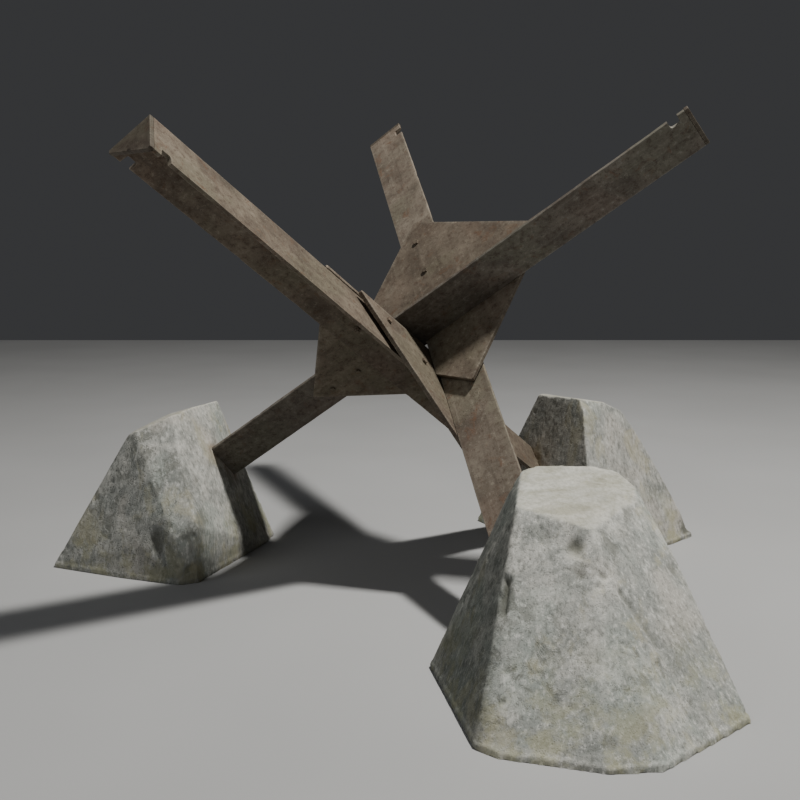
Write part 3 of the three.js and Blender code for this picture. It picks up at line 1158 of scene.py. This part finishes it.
def make_beams():
    for number, arm in enumerate("abc"):
        steel = steel_material(f"weathered_angle_{arm}", 3.1 * number + 0.4, STEEL_TONE[arm],
                               warmth=STEEL_WARMTH[arm])
        beam = build_beam(arm, number + 1)
        hand_over(beam, "angle_steel", steel, f"beam_{arm}")
        low_end, high_end = beam_ends(arm)
        cap_steel = steel_material(f"weathered_cap_{arm}", 9.3 + number, CAP_TONE, True, 0.5)
        for end, low in (("upper", high_end - CAP), ("lower", low_end)):
            cap = build_plate(f"cap_{arm}_{end}", CAP_OUTLINE, low, low + CAP, beam_frame(arm),
                              radius=0.0022, seed=number * 2 + len(end))
            hand_over(cap, "angle_steel", cap_steel, f"end_plate_{arm}_{end}")
        weld = build_weld(f"weld_bead_{arm}", beam_frame(arm), high_end - CAP, number)
        hand_over(weld, "angle_steel", cap_steel)


def make_gussets():
    for number, (key, gusset) in enumerate(GUSSETS.items()):
        corners = [(x * MM, y * MM) for x, y in gusset["outline"]]
        if sum(a[0] * b[1] - b[0] * a[1] for a, b in zip(corners, corners[1:] + corners[:1])) < 0:
            corners.reverse()
        holes = [(x * MM, y * MM) for _, x, y in gusset["bolts"]]
        plate = build_plate(f"plate_{key}", corners, PLATE_BASE, PLATE_BASE + PLATE,
                            plate_frame(key), holes, 0.005, 20 + number)
        steel = steel_material(f"weathered_plate_{key}", 17.0 + 2.3 * number, STEEL_TONE[key],
                               True, 0.5)
        hand_over(plate, "plate_steel", steel, f"gusset_plate_{key}")


def build_fastening(key, number, x, y, head_up):
    """Bolt, washer and nut, and the spacer of a bolt that goes through the beam below."""
    label = f"{key}_{number}"
    frame_here = plate_frame(key) @ Matrix.Translation((x * MM, y * MM, 0))
    head_seat = PLATE_BASE + PLATE if head_up else PLATE_BASE
    nut_seat = -THICK if head_up else PLATE_ROOM + THICK
    grip = abs(head_seat - nut_seat)
    place = frame_here @ Matrix.Translation((0, 0, head_seat))
    if not head_up:
        place = place @ Matrix.Rotation(math.pi, 4, "X")
    turned = Matrix.Rotation(math.radians(BOLT_TURN * number + BOLT_TURN_FROM), 4, "Z")
    washer_at = place @ Matrix.Translation((0, 0, -(grip + SEAM + WASHER))) @ turned
    nut_at = place @ Matrix.Translation((0, 0, -(grip + SEAM + WASHER) - SEAM - NUT))
    bolt_at = place @ Matrix.Translation((0, 0, SEAM))
    made = {
        "bolt": build_bolt(f"hex_bolt_{label}", bolt_at, grip),
        "washer": build_ring(f"round_washer_{label}", washer_at, WASHER_R, WASHER),
        "nut": build_nut(f"hex_nut_{label}", nut_at),
    }
    if head_up:
        seat = frame_here @ Matrix.Translation((0, 0, SEAM))
        made["spacer"] = build_ring(f"round_spacer_{label}", seat, SPACER_R, SPACER)
    return made


def make_fasteners():
    steel = steel_material("rusty_fasteners", 41.0, FASTENER_TONE, False, 0.7)
    for key, gusset in GUSSETS.items():
        for number, (arm, x, y) in enumerate(gusset["bolts"], 1):
            made = build_fastening(key, number, x, y, arm == gusset["below"])
            for node, piece in made.items():
                hand_over(piece, "fastener_steel", steel, f"{node}_{key}_{number}")


def make_footings():
    for number, arm in enumerate("abc"):
        block = build_footing(arm, 50 + 7 * number)
        cast = concrete_material(f"rough_concrete_{arm}", 5.7 * number, CONCRETE_TONE[arm])
        hand_over(block, "concrete", cast, f"footing_{arm}")


# ---- stage, lights and camera

def make_floor():
    """Plain pale floor under the object."""
    size, steps = 14.0, 28
    line = [(i / steps - 0.5) * size for i in range(steps + 1)]
    points = [(x, y, -0.0005) for y in line for x in line]
    width = steps + 1
    faces = [(j * width + i, j * width + i + 1, (j + 1) * width + i + 1, (j + 1) * width + i)
             for j in range(steps) for i in range(steps)]
    floor = mesh_object("studio_floor", points, faces)
    s = Shader("pale_floor", 0.85, specular=0.2)
    tone = s.noise(1.2, 2, 0.5)
    s.put(s.bsdf.inputs["Base Color"], s.ramp(tone, [(0.3, (0.385, 0.385, 0.38)),
                                                     (0.7, (0.41, 0.41, 0.405))]))
    dress(floor, s.material)


def area_light(name, azimuth, elevation, distance, size, power, colour):
    """Square soft light aimed at the hub."""
    aim = direction(math.radians(azimuth), math.radians(elevation))
    data = bpy.data.lights.new(name, "AREA")
    data.shape = "SQUARE"
    data.size = size
    data.energy = power
    data.color = colour
    lamp = link_object(name, data)
    lamp.location = HUB.translation + aim * distance
    lamp.rotation_euler = aim.to_track_quat("Z", "Y").to_euler()


def make_lights():
    area_light("key_light", azimuth=340, elevation=69, distance=6.0, size=0.45, power=530,
               colour=(1.0, 0.985, 0.955))
    area_light("fill_light", azimuth=222, elevation=30, distance=6.5, size=4.0, power=60,
               colour=(0.95, 0.97, 1.0))
    world = bpy.data.worlds.new("studio")
    world.use_nodes = True
    sky = world.node_tree.nodes["Background"].inputs
    sky["Color"].default_value = (0.93, 0.95, 1.0, 1)
    sky["Strength"].default_value = 0.045
    bpy.context.scene.world = world


def make_camera():
    """Slightly above the hub, in front of it, looking a little down."""
    data = bpy.data.cameras.new("camera")
    data.sensor_width = SENSOR_MM
    data.lens = LENS_MM
    data.clip_end = 60
    camera = link_object("camera", data)
    camera.location = HUB.translation + CAMERA_AT
    camera.rotation_euler = (math.radians(90 - CAMERA_DOWN), 0, 0)
    bpy.context.scene.camera = camera


make_camera()
make_beams()
make_gussets()
make_fasteners()
make_footings()
make_floor()
make_lights()
